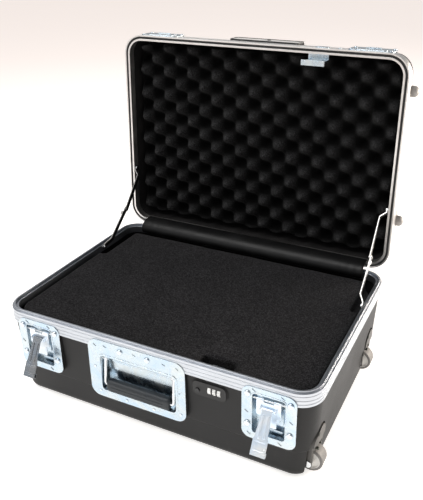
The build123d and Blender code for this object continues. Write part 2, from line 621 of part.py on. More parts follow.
# ---- lid stays -------------------------------------------------------------
# Two equal links each side, folded flat on one another with the lid shut
# and almost straight with it open.
STAY_L = 92.6                               # link length between pivots
STUD_BACK, STUD_RISE = -122.0, 6.2          # studs from the hinge line: y, and z up or down
BASE_STUD = (HINGE_Y + STUD_BACK, HINGE_Z - STUD_RISE)
LID_STUD = (HINGE_Y + STUD_BACK, HINGE_Z + STUD_RISE)      # lid shut
_open = math.radians(-OPEN_DEG)
LID_STUD_OPEN = (HINGE_Y + STUD_BACK * math.cos(_open) - STUD_RISE * math.sin(_open),
                 HINGE_Z + STUD_BACK * math.sin(_open) + STUD_RISE * math.cos(_open))
_span_y, _span_z = LID_STUD_OPEN[0] - BASE_STUD[0], LID_STUD_OPEN[1] - BASE_STUD[1]
_bend = math.acos(math.hypot(_span_y, _span_z) / 2 / STAY_L)
# angle of the lower link above +Y, lid open and lid shut
LOWER_OPEN = math.degrees(math.atan2(_span_z, _span_y) - _bend)
LOWER_SHUT = math.degrees(math.asin(STUD_RISE / STAY_L))
LOWER_X, UPPER_X = 259.0, 257.1             # |x| of the strap middles
STRAP_T, STRAP_W = 1.6, 10.0


def eye_link(s, pivot, angle, strap_x, elbow_side, joggle_end):
    """Flat link from a pivot stud to the elbow, its eye joggled outboard.

    s is 1 right, -1 left; angle is in degrees above +Y; elbow_side is 1 for
    a rivet half on the outboard face; joggle_end is measured from the pivot.
    Built along +Y and then turned.
    """
    half_t = STRAP_T / 2
    eye_x = INNER_X - 2.3
    profile = [(eye_x + half_t, -5.0), (eye_x + half_t, 6.5),
               (strap_x + half_t, joggle_end), (strap_x + half_t, STAY_L + 5.0),
               (strap_x - half_t, STAY_L + 5.0), (strap_x - half_t, joggle_end - 1.0),
               (eye_x - half_t, 5.5), (eye_x - half_t, -5.0)]
    sketch = make_face(Polyline(*[(s * x, y) for x, y in profile], close=True))
    strap = extrude(Plane.XY.offset(-STRAP_W / 2) * sketch, amount=STRAP_W)
    round_ends = Pos(STAY_L / 2, 0) * SlotOverall(STAY_L + 10.0, STRAP_W)
    link = strap & side(round_ends, s * 240, s * 280)
    link = link - cyl_x(s * (eye_x - 2), s * (eye_x + 2), 0, 0, 2.6)
    # half of the elbow rivet, on the side away from the other link
    face_x = strap_x + half_t * elbow_side
    link = link + cyl_x(s * (face_x - 0.2 * elbow_side), s * (face_x + 1.2 * elbow_side),
                        STAY_L, 0, 3.4)
    return Pos(0, *pivot) * (Rot(angle, 0, 0) * link)


def stud(s, y, z):
    return (cyl_x(s * INNER_X, s * (INNER_X - 0.9), y, z, 4.4)
            + cyl_x(s * (INNER_X - 0.5), s * (INNER_X - 3.8), y, z, 2.55)
            + cyl_x(s * (INNER_X - 3.4), s * (INNER_X - 4.6), y, z, 4.2))


def stays():
    for s, name in ((1, "right"), (-1, "left")):
        lower = eye_link(s, BASE_STUD, LOWER_OPEN, LOWER_X, 1, 21.0)
        tab = Pos(0, *BASE_STUD) * Rot(LOWER_OPEN, 0, 0) * box(
            s * (LOWER_X - 0.8), s * (LOWER_X + 4.2), STAY_L - 16, STAY_L - 9, 4.8, 6.1)
        save_one("stay_lower_" + name, lower + tab)
        # the upper link is laid out with the lid shut, opened with it, then turned
        # back about its own pivot; its shorter joggle clears the lower link
        upper = open_lid(eye_link(s, LID_STUD, -LOWER_SHUT, UPPER_X, -1, 16.5))
        upper = turn_about_x(upper, *LID_STUD_OPEN, LOWER_SHUT - LOWER_OPEN)
        save_one("stay_upper_" + name, upper)
    save_group("stay_studs_base", [single(stud(s, *BASE_STUD)) for s in (1, -1)])
    save_group("stay_studs_lid", [open_lid(single(stud(s, *LID_STUD))) for s in (1, -1)])


# ---- wheels ----------------------------------------------------------------
AXLE_X, AXLE_Z, AXLE_R = 263.0, 21.2, 4.0
WHEEL_R, WHEEL_W = 20.2, 23.0
RIM_R = 16.2                                # hub outside, tyre inside
HOUSING_DY = 1.8                            # housing centre behind the wheel centre
# housing outline seen from the front: x, z
HOUSING_OUTLINE = [(239.2, 84), (290.0, 84), (290.0, 43.0), (269.8, 37.0), (269.8, 15.0),
                   (264.0, 12.0), (254.0, 12.0), (246.0, 15), (239.2, 24)]
# housing rivets: y from the wheel centre, z, radius
HOUSING_RIVETS = [(-8.5, 73.4, 3.4), (0.0, 51.0, 1.8), (-9.5, 47.6, 2.4)]


def body_skin(out):
    """Lower part of the base body, unfilleted, grown outwards."""
    top = 90.0
    inset = 2.0 + 5.6 * (BASE_TOP[0] - top) / (BASE_TOP[0] - STEP_Z - 2)
    return slab([(z, n - out, r + out) for z, n, r in [(top, inset, 34.5)] + BASE_LOWER])


def axle_line(y, half, r):
    return cyl_y(y - half, y + half, AXLE_X, AXLE_Z, r)


def wheel_housing(y, skin_out, skin_in):
    """Thin arched cap with an opening for the wheel."""
    mid = y + HOUSING_DY
    cap = arch(mid, 21.4, 80.4, 239.2, 300.0) & skin_out
    cap = cap - (arch(mid, 19.8, 78.8, 240.4, 300.0) & skin_in)
    outline = make_face(Polyline(*HOUSING_OUTLINE, close=True))
    cap = cap & front(outline, mid - 23, mid + 23)
    cap = cap - box(256.0, 300, mid - 17.6, mid + 17.6, 0, 43.2)
    return single(cap - axle_line(y, 30, AXLE_R + 0.02))


def wheel_axle(y):
    mid = y + HOUSING_DY
    axle = axle_line(mid, 22.4, AXLE_R)
    for y0, y1 in ((-23.0, -21.4), (21.4, 23.0)):           # end heads
        axle = axle + cyl_y(mid + y0, mid + y1, AXLE_X, AXLE_Z, 5.6)
    return single(axle)


def wheel_hub(y):
    hub = axle_line(y, 13.4, 6.6) + axle_line(y, WHEEL_W / 2 - 0.8, RIM_R)
    for s in (-1, 1):                                       # dished faces
        hub = hub - (cyl_y(y + s * 9.0, y + s * 20, AXLE_X, AXLE_Z, 14.4)
                     - cyl_y(y + s * 8.0, y + s * 21, AXLE_X, AXLE_Z, 7.4))
    return hub - axle_line(y, 30, AXLE_R + 0.06)


def wheel_tyre(y):
    tyre = axle_line(y, WHEEL_W / 2, WHEEL_R)
    return fillet(circles(tyre), 2.6) - axle_line(y, 30, RIM_R)


def housing_rivet(y, z, r, skin_out):
    pin = standing_cylinder(r, 7.6)
    pin = fillet(pin.edges().sort_by(Axis.Z)[-1], 0.9)
    return single(Pos(268.0, y, z) * Rot(0, 90, 0) * pin - skin_out)


def wheels():
    skin_out, skin_in = body_skin(1.6), body_skin(0.0)
    for name, y in WHEEL_Y.items():
        save_one("wheel_hub_" + name, wheel_hub(y))
        save_one("wheel_tyre_" + name, wheel_tyre(y))
    centres = WHEEL_Y.values()
    save_group("wheel_housings", [wheel_housing(y, skin_out, skin_in) for y in centres])
    save_group("wheel_axles", [wheel_axle(y) for y in centres])
    save_group("wheel_housing_rivets", [housing_rivet(y + dy, z, r, skin_out)
                                        for y in centres for dy, z, r in HOUSING_RIVETS])


def lid_glides():
    """Domed feet on the lid's right end, level with the wheels when the case stands up."""
    z = HINGE_Z + 36.0
    body = lid_body()
    glides = []
    for y in (-131.0, 107.0):
        foot = side(Pos(y, z) * RectangleRounded(34, 22, 9), 272.0, 278.2) - body
        knob = Pos(277.8, y, z) * Rot(0, 90, 0) * standing_cylinder(9.6, 13.8)
        knob = fillet(knob.edges().sort_by(Axis.X)[-1], 7.5)
        glides.append(open_lid(single(foot + knob)))
    save_group("lid_glides", glides)


# ---- pull handle in the left end -------------------------------------------
# telescoping tube pairs: name, x0, x1, outer radius, bore radius
TOW_TUBES = [("tow_outer_tubes", -240.8, 205, 8.0, 6.35),
             ("tow_stage1_tubes", -242.0, 200, 6.25, 4.85),
             ("tow_stage2_tubes", -262.0, 190, 4.75, 3.6)]


def tow_cup():
    def block(width, height, r, x0, x1):
        return side(Pos(0, TOW_Z) * RectangleRounded(width, height, r), x0, x1)
    cup = block(192, 32, 9, -272.4, -270.4) - base_body()
    cup = cup + block(176, 26.4, 6.5, -271, -241)
    cup = cup - block(172, 22.4, 5, -274, -243)
    for s in (-1, 1):
        cup = cup - cyl_x(-245, -238, s * TOW_Y, TOW_Z, 6.3)
    save_one("tow_cup", cup)
    save_group("tow_cup_screws", [rivet(-272.4, s * 92, TOW_Z + up * 8, 2.2, 1.0, "x-")
                                  for s in (-1, 1) for up in (-1, 1)])


def tow_tubes():
    for name, x0, x1, outer_r, bore_r in TOW_TUBES:
        save_group(name, [single(cyl_x(x0, x1, s * TOW_Y, TOW_Z, outer_r)
                                 - cyl_x(x0 - 1, x1 + 1, s * TOW_Y, TOW_Z, bore_r))
                          for s in (-1, 1)])


def tow_grip():
    grip = box(-270.0, -252.0, -80, 80, TOW_Z - 9, TOW_Z + 9)
    grip = fillet(grip.edges(), 4.5)
    for s in (-1, 1):
        grip = grip - cyl_x(-262.1, -240, s * TOW_Y, TOW_Z, 4.77)
    grip = grip - box(-274, -262, -14.2, 14.2, TOW_Z - 4.7, TOW_Z + 4.7)
    save_one("tow_grip", grip)
    button = box(-271.2, -265.5, -14, 14, TOW_Z - 4.5, TOW_Z + 4.5)
    save_one("tow_button", fillet(button.edges().filter_by(Axis.X), 2.0))


for build in (base_shell, base_frame, base_foam, lid_shell, lid_frame, lid_foam,
              hinge, hinge_cover, handle_dish, handle_bail, handle_grip,
              latches, strikes, card_holder, lock_backing_plate,
              lock_case, lock_works, lock_tang, stays, wheels, lid_glides,
              tow_cup, tow_tubes, tow_grip):
    build()
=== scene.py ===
"""An open hard case with foam inside, a combination lock, latches, wheels and a tow handle.

Metres, +Z up. The case stands on z = 0 with its front towards -Y. The hinge line runs along X
at the back, and the lid stands open, a little past upright. Most pieces are the CAD solids
with new materials. The foams and the hinge cover are built here.
"""
import bpy
import math
import numpy as np
from mathutils import Matrix, Vector

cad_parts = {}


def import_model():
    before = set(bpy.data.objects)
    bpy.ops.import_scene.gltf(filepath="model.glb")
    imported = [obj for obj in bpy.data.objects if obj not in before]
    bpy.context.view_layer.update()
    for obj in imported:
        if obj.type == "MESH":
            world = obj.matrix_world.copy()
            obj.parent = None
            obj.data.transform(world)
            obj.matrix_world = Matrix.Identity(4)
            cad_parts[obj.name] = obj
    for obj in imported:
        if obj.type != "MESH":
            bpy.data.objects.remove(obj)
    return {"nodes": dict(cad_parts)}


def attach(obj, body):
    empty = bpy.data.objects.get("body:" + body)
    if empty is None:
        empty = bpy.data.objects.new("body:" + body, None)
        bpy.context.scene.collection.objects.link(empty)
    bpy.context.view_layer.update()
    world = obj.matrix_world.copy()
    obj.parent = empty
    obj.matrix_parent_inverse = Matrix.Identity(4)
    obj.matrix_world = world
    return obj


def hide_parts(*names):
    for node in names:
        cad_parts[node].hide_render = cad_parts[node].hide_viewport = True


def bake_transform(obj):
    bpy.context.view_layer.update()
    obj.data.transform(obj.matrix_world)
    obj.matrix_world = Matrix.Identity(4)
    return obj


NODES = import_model()["nodes"]
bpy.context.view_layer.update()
SCENE = bpy.context.scene
MM = 0.001

HINGE_Y, HINGE_Z = 0.2005, 0.1652
RIM_Z = 0.1651                       # rim of the base
LID_TURN = math.radians(-92.3)       # about the hinge line, from shut to open


def opened(y, z):
    """Carry a point of the shut lid to its place on the open lid."""
    cos, sin = math.cos(LID_TURN), math.sin(LID_TURN)
    dy, dz = y - HINGE_Y, z - HINGE_Z
    return HINGE_Y + dy * cos - dz * sin, HINGE_Z + dy * sin + dz * cos


# ---------------------------------------------------------------------------
# shader helpers
# ---------------------------------------------------------------------------
MIDDLE = (0.3, 0.7)      # the part of a noise's range that carries its contrast
MIX_A, MIX_B, MIX_RESULT = 6, 7, 2      # colour sockets of a Mix node
BEVEL_SAMPLES = 4
SURFACE_SOCKETS = dict(
    color="Base Color", metallic="Metallic", roughness="Roughness", ior="IOR",
    specular="Specular IOR Level", anisotropic="Anisotropic", sheen="Sheen Weight",
    sheen_roughness="Sheen Roughness",
)


def feed(tree, socket, value):
    """Link an output to the socket, or set its value; a colour gets its alpha."""
    if isinstance(value, bpy.types.NodeSocket):
        tree.links.new(value, socket)
        return
    if isinstance(value, tuple):
        value = (*value, 1.0)[:len(socket.default_value)]
    socket.default_value = value


def add_node(tree, kind, inputs=None, **settings):
    """Add a node; inputs maps a socket's name or index to an output or a value."""
    node = tree.nodes.new(kind)
    for key, value in settings.items():
        setattr(node, key, value)
    for key, value in (inputs or {}).items():
        feed(tree, node.inputs[key], value)
    return node


def shade(color, factor, lift=0.0):
    return tuple(min(1.0, c * factor + lift) for c in color)


class Surface:
    """A Principled material whose textures lie in object space."""

    def __init__(self, name, bevel=None):
        self.material = bpy.data.materials.new(name)
        self.material.use_nodes = True
        self.tree = self.material.node_tree
        self.tree.nodes.clear()
        output = self.add("ShaderNodeOutputMaterial")
        self.shader = self.add("ShaderNodeBsdfPrincipled")
        self.tree.links.new(self.shader.outputs[0], output.inputs[0])
        self.position = self.add("ShaderNodeTexCoord").outputs["Object"]
        self.normal = self.bevel(bevel) if bevel else None

    def add(self, kind, inputs=None, **settings):
        return add_node(self.tree, kind, inputs, **settings)

    def bevel(self, radius):
        node = self.add("ShaderNodeBevel", {"Radius": radius}, samples=BEVEL_SAMPLES)
        return node.outputs[0]

    def noise(self, scale, detail=3.0, roughness=0.5, stretch=None, distortion=0.0):
        """Noise; stretch multiplies the coordinates axis by axis."""
        vector = self.position
        if stretch:
            vector = self.add("ShaderNodeMapping", {0: vector, "Scale": stretch}).outputs[0]
        inputs = {"Scale": scale, "Detail": detail, "Roughness": roughness,
                  "Distortion": distortion, "Vector": vector}
        return self.add("ShaderNodeTexNoise", inputs).outputs["Fac"]

    def cells(self, scale, smoothness=None):
        """Distance to the nearest cell centre, smoothed if a smoothness is given."""
        inputs = {"Scale": scale, "Vector": self.position}
        feature = "F1"
        if smoothness is not None:
            inputs["Smoothness"] = smoothness
            feature = "SMOOTH_F1"
        return self.add("ShaderNodeTexVoronoi", inputs, feature=feature).outputs["Distance"]

    def remap(self, value, source=MIDDLE, target=(0.0, 1.0)):
        inputs = {"From Min": source[0], "From Max": source[1],
                  "To Min": target[0], "To Max": target[1], "Value": value}
        return self.add("ShaderNodeMapRange", inputs).outputs[0]

    def math(self, operation, a, b):
        return self.add("ShaderNodeMath", {0: a, 1: b}, operation=operation).outputs[0]

    def times(self, a, b):
        return self.math("MULTIPLY", a, b)

    def weighted_sum(self, a, a_weight, b, b_weight):
        first = self.times(a, a_weight)
        return self.math("ADD", first, self.times(b, b_weight))

    def mix(self, factor, a, b):
        inputs = {0: factor, MIX_A: a, MIX_B: b}
        return self.add("ShaderNodeMix", inputs, data_type="RGBA").outputs[MIX_RESULT]

    def edge(self, radius, source):
        """1 near sharp edges, 0 on flats: how far a bevel turns the normal."""
        bevel = self.bevel(radius)
        normal = self.add("ShaderNodeNewGeometry").outputs["Normal"]
        dot = self.add("ShaderNodeVectorMath", {0: bevel, 1: normal}, operation="DOT_PRODUCT")
        return self.remap(self.math("SUBTRACT", 1.0, dot.outputs["Value"]), source)

    def bump(self, height, distance, strength):
        """Lay relief over the normal built so far."""
        inputs = {"Strength": strength, "Distance": distance, "Height": height}
        if self.normal is not None:
            inputs["Normal"] = self.normal
        self.normal = self.add("ShaderNodeBump", inputs).outputs[0]

    def finish(self, **values):
        for key, value in values.items():
            feed(self.tree, self.shader.inputs[SURFACE_SOCKETS[key]], value)
        self.tree.links.new(self.normal, self.shader.inputs["Normal"])
        return self.material


# ---------------------------------------------------------------------------
# materials
# ---------------------------------------------------------------------------
def moulded_abs(name, base=0.0065, specular=0.30):
    """Near-black moulded plastic, grained, scuffed and paler at its edges."""
    s = Surface(name, bevel=0.0012)
    cell = s.cells(scale=620, smoothness=0.6)
    fine = s.noise(scale=1500, detail=2)
    s.bump(s.weighted_sum(cell, 0.8, fine, 0.35), distance=0.00022, strength=0.55)
    cloud = s.noise(scale=9, detail=4, roughness=0.6)
    scuff = s.noise(scale=60, detail=6, roughness=0.7, stretch=(1, 0.35, 0.2))
    scuff = s.remap(scuff, source=(0.60, 0.74))
    dark = (base * 0.92, base * 0.885, base * 0.90)
    light = (base * 1.28, base * 1.22, base * 1.22)
    color = s.mix(s.remap(cloud), dark, light)
    color = s.mix(s.times(scuff, 0.30), color, (0.045, 0.043, 0.041))
    edge = s.edge(radius=0.0022, source=(0.03, 0.5))
    color = s.mix(s.times(edge, 0.4), color, (0.045, 0.043, 0.042))
    roughness = s.remap(cloud, source=(0.25, 0.75), target=(0.43, 0.53))
    return s.finish(color=color, roughness=roughness, ior=1.5, specular=specular)


def extruded_aluminium(name, axis, base=(0.57, 0.595, 0.635)):
    """Extruded aluminium; its fine draw lines run across the named axis."""
    def across(along, rate):
        return tuple(rate if letter == axis else along for letter in "xyz")

    s = Surface(name, bevel=0.0006)
    fine = s.noise(scale=1.0, detail=2, roughness=0.6, stretch=across(6, 1900))
    coarse = s.noise(scale=1.0, detail=2, roughness=0.5, stretch=across(30, 520))
    lines = s.weighted_sum(fine, 0.6, coarse, 0.4)
    s.bump(lines, distance=0.00006, strength=0.5)
    cloud = s.noise(scale=22, detail=4, roughness=0.6)
    color = s.mix(s.remap(cloud, source=(0.3, 0.75)), shade(base, 0.93), shade(base, 1.06))
    streak = s.remap(lines, source=(0.35, 0.65), target=(0.0, 0.35))
    color = s.mix(streak, color, shade(base, 0.72))
    roughness = s.remap(lines, target=(0.27, 0.42))
    return s.finish(color=color, metallic=1.0, roughness=roughness, anisotropic=0.35)


def zinc_plate(name, base=(0.55, 0.625, 0.67), roughness=(0.18, 0.34), metallic=1.0):
    """Zinc-plated steel: bluish, faintly cloudy, with soft roller marks."""
    s = Surface(name, bevel=0.0007)
    cloud = s.noise(scale=34, detail=5, roughness=0.62, distortion=0.6)
    fleck = s.cells(scale=210)
    roller = s.noise(scale=1.0, detail=3, roughness=0.6, stretch=(5, 5, 520))
    s.bump(s.weighted_sum(cloud, 0.6, roller, 0.12), distance=0.0005, strength=0.5)
    warm = tuple(c * f for c, f in zip(base, (1.12, 1.06, 1.0)))
    cool = tuple(c * f for c, f in zip(base, (0.86, 0.95, 1.06)))
    color = s.mix(s.remap(cloud, source=(0.34, 0.66)), cool, warm)
    fleck = s.remap(fleck, source=(0.15, 0.6))
    color = s.mix(s.times(fleck, 0.10), color, shade(base, 0.7))
    edge = s.edge(radius=0.0012, source=(0.03, 0.4))
    color = s.mix(s.times(edge, 0.5), color, (0.88, 0.90, 0.92))
    return s.finish(color=color, metallic=metallic, roughness=s.remap(cloud, target=roughness))


def steel(name, base, roughness, stretch=(1, 1, 0.05)):
    """Bare steel with a fine grain, drawn out along the axis of least stretch."""
    s = Surface(name, bevel=0.0005)
    grain = s.noise(scale=900, detail=3, roughness=0.6, stretch=stretch)
    cloud = s.noise(scale=40, detail=4, roughness=0.6)
    s.bump(grain, distance=0.00004, strength=0.4)
    color = s.mix(s.remap(cloud), shade(base, 0.88), shade(base, 1.1))
    rough = s.remap(grain, target=(roughness * 0.8, roughness * 1.25))
    return s.finish(color=color, metallic=1.0, roughness=rough)


def plastic(name, base, roughness=0.4, grain=900, depth=0.00008, edge_color=None, bevel=0.0006):
    """Fine-grained plastic or rubber; depth is the relief of the grain."""
    s = Surface(name, bevel)
    s.bump(s.noise(scale=grain, detail=3, roughness=0.6), distance=depth, strength=0.6)
    cloud = s.noise(scale=30, detail=4, roughness=0.6)
    color = s.mix(s.remap(cloud), shade(base, 0.85), shade(base, 1.15))
    edge = s.edge(radius=0.0012, source=(0.03, 0.4))
    color = s.mix(s.times(edge, 0.4), color, edge_color or shade(base, 1.8, lift=0.01))
    rough = s.remap(cloud, target=(roughness * 0.85, roughness * 1.2))
    return s.finish(color=color, roughness=rough)


def foam(name, base, pore_shade, valley=None):
    """Open-cell foam; pore_shade darkens the pores; the last argument is a painted shade
    colour, laid into the valleys between the peaks.
    """
    cell_scale = 620
    s = Surface(name)
    pores = s.cells(scale=cell_scale)
    small_pores = s.cells(scale=cell_scale * 2.3)
    relief = s.weighted_sum(pores, 0.7, small_pores, 0.35)
    lumps = s.noise(scale=120, detail=4, roughness=0.65)
    s.bump(relief, distance=0.0006, strength=0.9)
    s.bump(lumps, distance=0.0008, strength=0.35)
    speck = s.noise(scale=340, detail=2, roughness=0.6)
    speck = s.remap(speck, source=(0.36, 0.64), target=(0.55, 1.5))
    hole = s.remap(pores, source=(0.25, 0.62), target=(1.0, pore_shade))
    brightness = s.times(hole, speck)
    cloud = s.noise(scale=14, detail=4, roughness=0.6)
    color = s.mix(s.remap(cloud), shade(base, 0.86), shade(base, 1.16))
    # painted shade: the valleys between the peaks take a near-black colour
    if valley is not None:
        peak = s.add("ShaderNodeAttribute", attribute_name="peak").outputs["Fac"]
        color = s.mix(s.remap(peak, source=(0.38, 0.98)), valley, color)
    scaled = s.add("ShaderNodeVectorMath", {0: color, "Scale": brightness}, operation="SCALE")
    return s.finish(color=scaled.outputs[0], roughness=0.95, specular=0.08, sheen=0.02,
                    sheen_roughness=0.6)


def grained_vinyl(name):
    """Black vinyl with a leather grain."""
    s = Surface(name)
    leather = s.cells(scale=420, smoothness=0.5)
    fine = s.noise(scale=900, detail=2)
    s.bump(s.math("ADD", leather, s.times(fine, 0.3)), distance=0.00015, strength=0.5)
    cloud = s.noise(scale=30, detail=3)
    color = s.mix(s.remap(cloud), (0.003, 0.003, 0.0032), (0.006, 0.006, 0.0062))
    roughness = s.remap(cloud, target=(0.40, 0.52))
    return s.finish(color=color, roughness=roughness, ior=1.5, specular=0.26)


MATERIALS = dict(
    abs_shell=moulded_abs("abs_shell_mat"),
    abs_lid=moulded_abs("abs_lid_mat", base=0.016, specular=0.02),
    alu_base=extruded_aluminium("aluminium_base_mat", axis="z"),
    alu_lid=extruded_aluminium("aluminium_lid_mat", axis="y", base=(0.74, 0.72, 0.70)),
    zinc=zinc_plate("zinc_plate_mat"),
    zinc_rivet=zinc_plate("zinc_rivet_mat", base=(0.66, 0.71, 0.75), roughness=(0.16, 0.28)),
    dark_rivet=steel("rivet_dark_mat", base=(0.06, 0.065, 0.055), roughness=0.4),
    bright=steel("bright_steel_mat", base=(0.74, 0.76, 0.78), roughness=0.20),
    claw=zinc_plate("claw_steel_mat", base=(0.86, 0.93, 0.99), roughness=(0.16, 0.28),
                    metallic=0.5),
    # painted shade: the left latch claw wears this darker copy of the claw metal
    claw_painted_shade=zinc_plate("claw_shade_mat", base=(0.20, 0.21, 0.22), roughness=(0.20, 0.32)),
    stay=steel("stay_steel_mat", base=(0.60, 0.585, 0.565), roughness=0.24),
    # painted shade: the left stays wear this darker copy of the stay steel
    stay_painted_shade=steel("stay_painted_shade_mat", base=(0.17, 0.165, 0.16), roughness=0.30),
    glide=plastic("glide_mat", base=(0.34, 0.32, 0.30)),
    black=plastic("black_plastic_mat", base=(0.012, 0.012, 0.013), roughness=0.36),
    lock_shell=plastic("lock_shell_mat", base=(0.0095, 0.0093, 0.0095), roughness=0.48),
    grip=plastic("grip_rubber_mat", base=(0.018, 0.023, 0.028), roughness=0.50, grain=700,
                 depth=0.00012),
    gasket=plastic("gasket_rubber_mat", base=(0.02, 0.02, 0.02), roughness=0.6, grain=500,
                   depth=0.0001),
    foam_base=foam("foam_base_mat", base=(0.0285, 0.0275, 0.0290), pore_shade=0.26),
    # the lid foam gets painted shade in its valleys
    foam_lid=foam("foam_lid_mat", base=(0.036, 0.036, 0.037), pore_shade=0.32,
                  valley=(0.0008, 0.0008, 0.0008)),
    vinyl=grained_vinyl("vinyl_mat"),
    dial=plastic("dial_white_mat", base=(0.86, 0.86, 0.84), roughness=0.3,
                 edge_color=(0.6, 0.6, 0.6), bevel=0.0002),
    housing=plastic("wheel_housing_mat", base=(0.075, 0.070, 0.064), roughness=0.45),
    panel=plastic("card_panel_mat", base=(0.62, 0.60, 0.57), roughness=0.35,
                  edge_color=(0.7, 0.7, 0.7)),
    wheel=plastic("wheel_hub_mat", base=(0.76, 0.735, 0.70), roughness=0.35,
                  edge_color=(0.75, 0.74, 0.7)),
    tyre=plastic("wheel_tyre_mat", base=(0.20, 0.19, 0.18), roughness=0.55, grain=500,
                 depth=0.00015, edge_color=(0.35, 0.34, 0.32)),
    tow=steel("tow_tube_mat", base=(0.62, 0.63, 0.65), roughness=0.22, stretch=(0.05, 1, 1)),
)

# the CAD pieces that wear each material
WEARERS = dict(
    abs_shell="base_shell",
    abs_lid="lid_shell",
    alu_base="base_frame",
    alu_lid="lid_frame",
    zinc="hinge_leaf_base hinge_leaf_lid handle_dish latch_dishes strike_plates"
         " lock_backing_plate lock_bolt lock_tang",
    zinc_rivet="hinge_rivets_base hinge_rivets_lid handle_rivets latch_rivets strike_rivets",
    dark_rivet="wheel_housing_rivets",
    bright="hinge_pin handle_bail latch_pins dial_axle stay_studs_base stay_studs_lid"
           " wheel_axles tow_cup_screws",
    claw="latch_lever_right latch_lever_left latch_claw_right",
    # the left claw wears the darker metal, which is painted shade
    claw_painted_shade="latch_claw_left",
    stay="stay_lower_right stay_upper_right",
    # the left stays wear the darker steel, which is painted shade
    stay_painted_shade="stay_lower_left stay_upper_left",
    glide="lid_glides",
    black="card_frame lock_body lock_button tow_cup tow_grip",
    lock_shell="lock_escutcheon",
    grip="handle_grip tow_button",
    gasket="lid_gasket",
    foam_base="base_foam floor_foam_strips",
    foam_lid="lid_foam",
    vinyl="hinge_cover",
    dial="dial_1 dial_2 dial_3",
    housing="wheel_housings",
    panel="card_panel",
    wheel="wheel_hub_front wheel_hub_rear",
    tyre="wheel_tyre_front wheel_tyre_rear",
    tow="tow_outer_tubes tow_stage1_tubes tow_stage2_tubes",
)


def dress_pieces():
    material_of = {piece: MATERIALS[key] for key, pieces in WEARERS.items()
                   for piece in pieces.split()}
    for name, piece in NODES.items():
        material = material_of[name]
        if len(piece.material_slots) == 0:
            piece.data.materials.append(material)
        for slot in piece.material_slots:
            slot.link = "OBJECT"
            slot.material = material


dress_pieces()


# ---------------------------------------------------------------------------
# mesh helpers
# ---------------------------------------------------------------------------
def link_object(name, data):
    obj = bpy.data.objects.new(name, data)
    SCENE.collection.objects.link(obj)
    return obj


def smooth_shade(mesh):
    mesh.polygons.foreach_set("use_smooth", [True] * len(mesh.polygons))


def mesh_object(name, vertices, faces, material):
    mesh = bpy.data.meshes.new(name)
    mesh.from_pydata([tuple(map(float, v)) for v in vertices], [],
                     [tuple(map(int, f)) for f in faces])
    mesh.validate()
    mesh.update()
    mesh.materials.append(material)
    return link_object(name, mesh)


def apply_modifiers(obj):
    graph = bpy.context.evaluated_depsgraph_get()
    mesh = bpy.data.meshes.new_from_object(obj.evaluated_get(graph), depsgraph=graph)
    obj.modifiers.clear()
    old_mesh = obj.data
    obj.data = mesh
    mesh.name = obj.name
    bpy.data.meshes.remove(old_mesh)


def read_vectors(vertices, attribute):
    values = np.empty(len(vertices) * 3, np.float32)
    vertices.foreach_get(attribute, values)
    return values.reshape(-1, 3)


def stand_in(obj, piece, carrier):
    """Let obj take the place of a CAD piece and move with the carrier."""
    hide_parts(piece)
    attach(obj, carrier)


# ---------------------------------------------------------------------------
# base foam block and the strips under it
# ---------------------------------------------------------------------------
def soft_copy(piece, name, material, voxel, smoothing, phase):
    """Round off a CAD solid and give it a slightly uneven skin."""
    wobble = 0.0004      # the skin also sinks by this much, so it stays inside the solid
    mesh = NODES[piece].data.copy()
    obj = link_object(name, mesh)
    mesh.materials.clear()
    mesh.materials.append(material)
    weld = obj.modifiers.new("weld", "WELD")
    weld.merge_threshold = 0.00005
    remesh = obj.modifiers.new("remesh", "REMESH")
    remesh.mode = "VOXEL"
    remesh.voxel_size = voxel
    smooth = obj.modifiers.new("smooth", "SMOOTH")
    smooth.factor = 0.5
    smooth.iterations = smoothing
    apply_modifiers(obj)

    mesh = obj.data
    points = read_vectors(mesh.vertices, "co")
    normals = read_vectors(mesh.vertices, "normal")
    x, y, z = points.T.astype(float)
    # three sets of waves, from broad to fine
    waves = (np.sin(x * 41 + phase) * np.sin(y * 37 + 1.7 * phase)
             + 0.5 * np.sin(x * 97 + y * 61 + z * 83 + phase)
             + 0.35 * np.sin(x * 183 - y * 171 + 2.1 * phase))
    points = points + normals * (waves[:, None] * wobble * 0.5 - wobble).astype(np.float32)
    mesh.vertices.foreach_set("co", points.ravel())
    smooth_shade(mesh)
    mesh.update()
    return obj


base_block = soft_copy("base_foam", "base_foam_block", MATERIALS["foam_base"],
                       voxel=0.003, smoothing=6, phase=1.0)
stand_in(base_block, "base_foam", "base")
floor_pads = soft_copy("floor_foam_strips", "floor_foam_pads", MATERIALS["foam_base"],
                       voxel=0.005, smoothing=4, phase=2.0)
stand_in(floor_pads, "floor_foam_strips", "base")


# ---------------------------------------------------------------------------
# convoluted lid foam, laid out in the shut lid and carried open
# ---------------------------------------------------------------------------
FOAM_HALF_X, FOAM_HALF_Y = 0.2626, 0.1762
FOAM_CENTRE_Y = -0.001
FOAM_CORNER = 0.027                     # corner radius seen from above
FOAM_PEAK_Z = RIM_Z + 0.0169
FOAM_BACK_Z = RIM_Z + 0.0675
FOAM_DEPTH = 0.036                      # from peak to valley
FOAM_PITCH_X, FOAM_PITCH_Y = 0.0267, 0.023925      # half a wave of each cosine
FOAM_PEAK_X, FOAM_PEAK_Y = 0.016, -0.1264          # the centre of one peak
FOAM_CLEARANCE = 0.0050                 # the least gap behind the peaks where room is left


